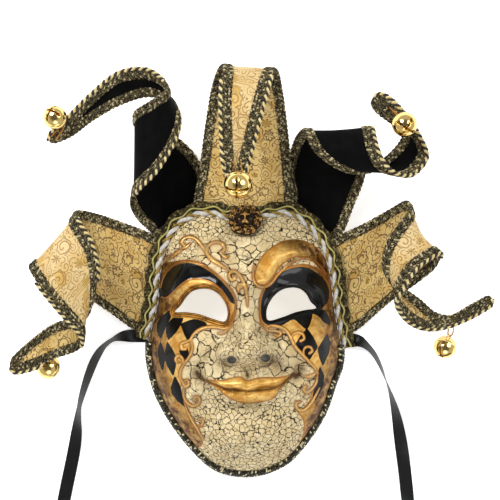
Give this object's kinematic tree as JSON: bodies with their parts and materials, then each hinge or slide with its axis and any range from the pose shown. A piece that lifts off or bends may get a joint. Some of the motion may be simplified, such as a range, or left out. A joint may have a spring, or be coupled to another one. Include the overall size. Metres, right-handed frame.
{
  "type": "venetian jester mask",
  "caption": "Full-face jester mask of painted papier mache with crackled skin, harlequin cheeks, brocade and velvet cloth horns, jingle bells and satin ribbons",
  "frame": {"origin": "middle of the lowest plane of the mask without its ribbons: the mask lies on its back, and its flat rim is z = 0", "axes": "+X to the viewer's right across the horns, +Y from the chin to the forehead, +Z out of the face"},
  "size_m": [0.4306, 0.4649, 0.1234],
  "materials": {
    "painted_papier_mache": "ivory crackled paint with gold and black painting under a satin varnish, on papier mache",
    "bronzed_lion": "antique bronze with gold high spots",
    "white_gold_rope": "twisted white silk with gold strands",
    "olive_gimp": "woven olive and black gimp with a gold wave",
    "jaw_trim": "black woven edging flecked with gold",
    "gold_brocade": "cream and gold jacquard brocade",
    "black_velvet": "short-pile black velvet",
    "metallic_braid": "woven black, silver and gold braid",
    "gold_bell": "polished gold plating",
    "gold_thread": "thin gold wire",
    "black_satin": "black satin"
  },
  "bodies": {
    "root": {"face_shell": "painted_papier_mache", "forehead_medallion": "bronzed_lion", "rope_cord": "white_gold_rope", "gimp_braid": "olive_gimp", "jaw_braid": "jaw_trim", "horn_centre": "gold_brocade", "horn_centre_braid": "metallic_braid", "horn_upper_left": "black_velvet", "horn_upper_left_braid": "metallic_braid", "horn_upper_right": "black_velvet", "horn_upper_right_braid": "metallic_braid", "horn_side_left": "gold_brocade", "horn_side_left_braid": "metallic_braid", "horn_side_right": "gold_brocade", "horn_side_right_braid": "metallic_braid", "bell_centre": "gold_bell", "bell_centre_tie": "gold_thread", "bell_upper_left": "gold_bell", "bell_upper_left_tie": "gold_thread", "bell_upper_right": "gold_bell", "bell_upper_right_tie": "gold_thread", "bell_side_left": "gold_bell", "bell_side_left_tie": "gold_thread", "bell_side_right": "gold_bell", "bell_side_right_tie": "gold_thread", "ribbon_left": "black_satin", "ribbon_left_roll": "black_satin", "ribbon_right": "black_satin", "ribbon_right_roll": "black_satin"}
  },
  "joints": []
}
